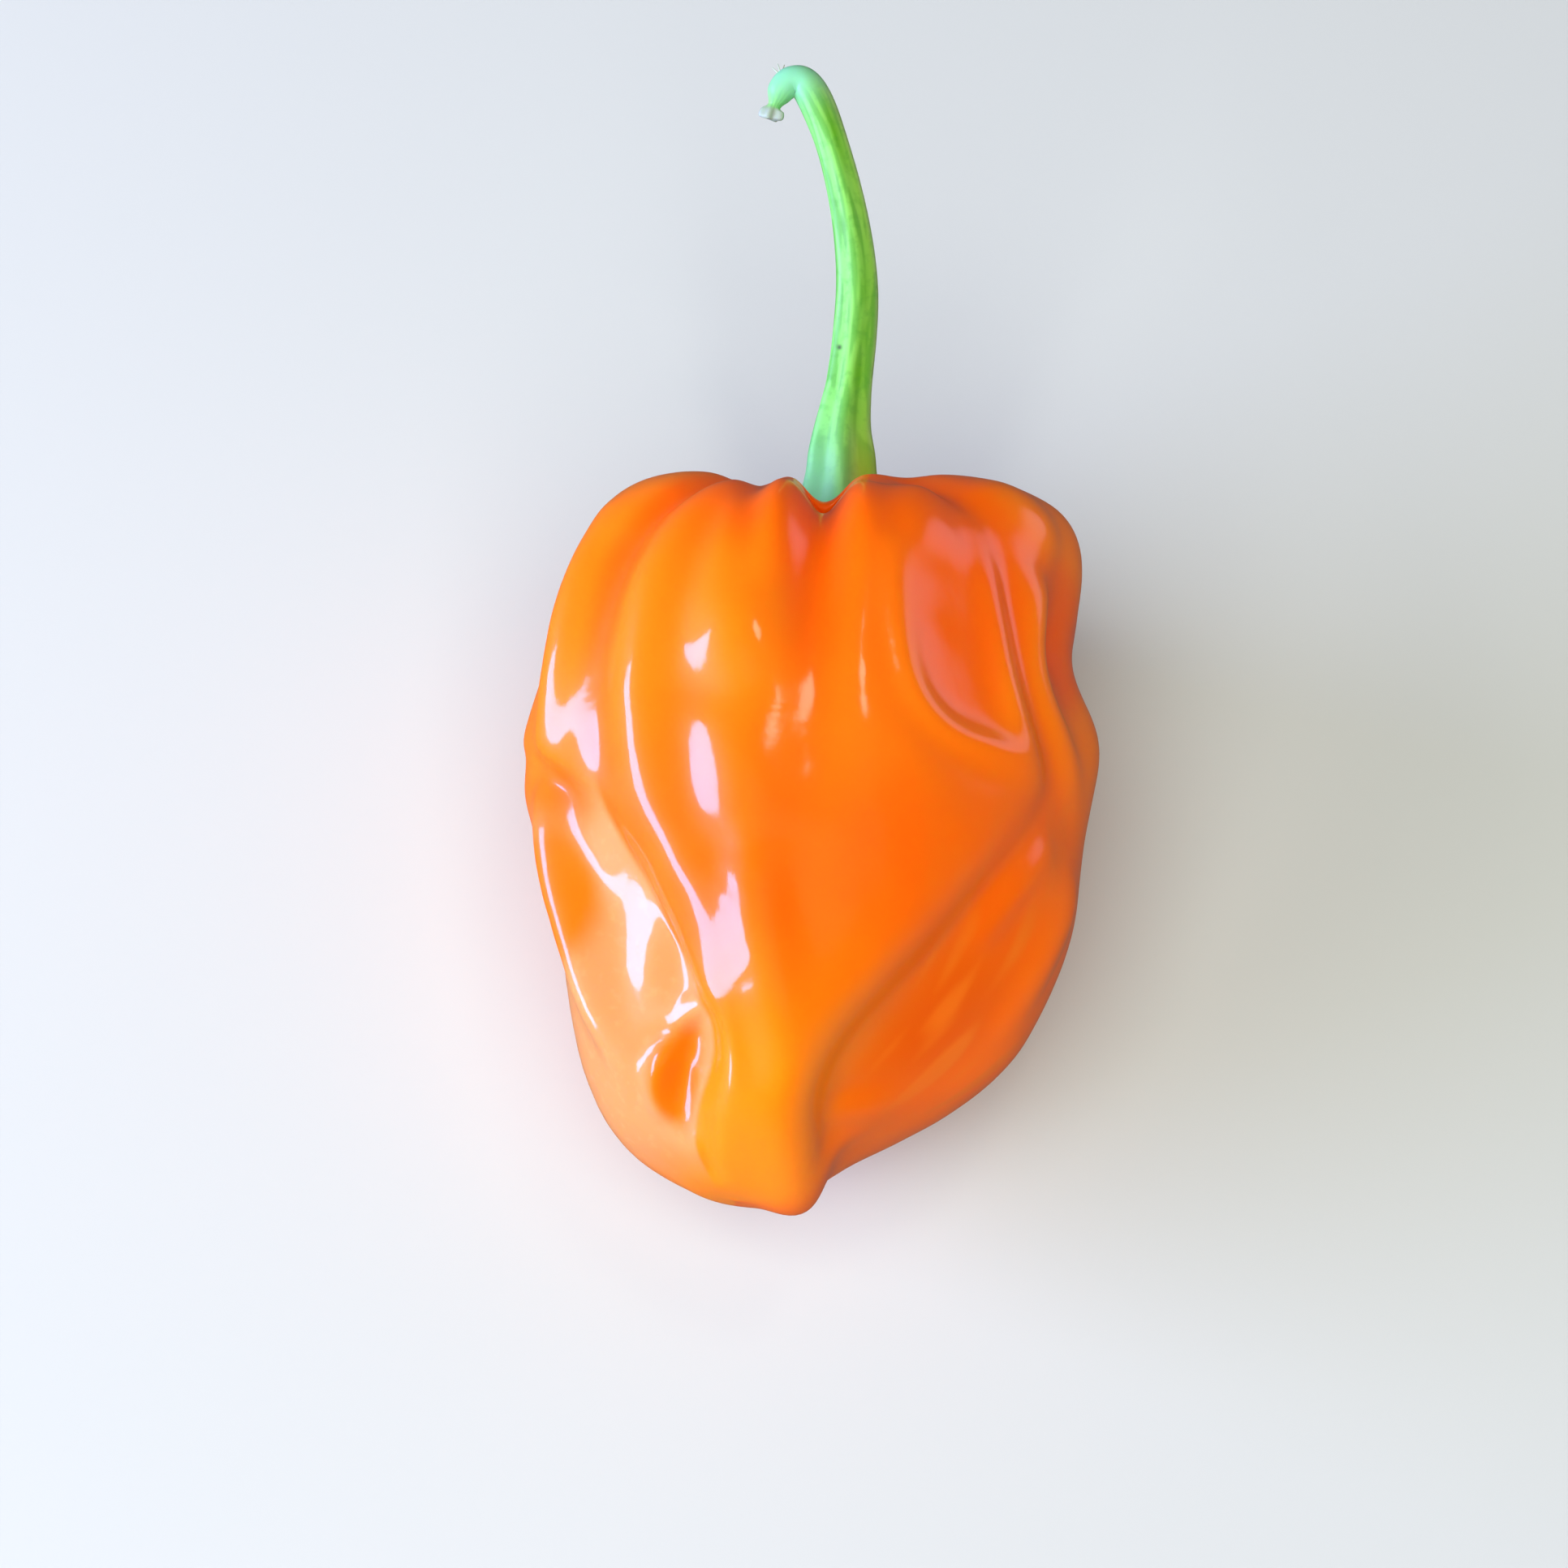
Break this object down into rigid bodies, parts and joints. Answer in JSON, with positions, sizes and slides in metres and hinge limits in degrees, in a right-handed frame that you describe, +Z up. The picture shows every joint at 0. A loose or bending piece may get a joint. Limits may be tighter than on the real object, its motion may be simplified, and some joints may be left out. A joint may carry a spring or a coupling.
{
  "type": "aji chombo pepper",
  "caption": "Ripe orange habanero-type pepper with furrowed shoulders, a pointed blossom end and a curved green stalk, lying on its belly.",
  "frame": {"origin": "on the surface that the pepper lies on, under the middle of its length and width", "axes": "+Z up; +Y from the blossom end towards the stalk; +X to the right, seen from the blossom end"},
  "size_m": [0.0412, 0.081, 0.0361],
  "materials": {
    "skin": "smooth, glossy, waxy fruit skin, orange, paler on the left facets",
    "stalk": "satin green plant stalk with pale ribs"
  },
  "bodies": {
    "root": {"pod": "skin", "stalk": "stalk"}
  },
  "joints": []
}
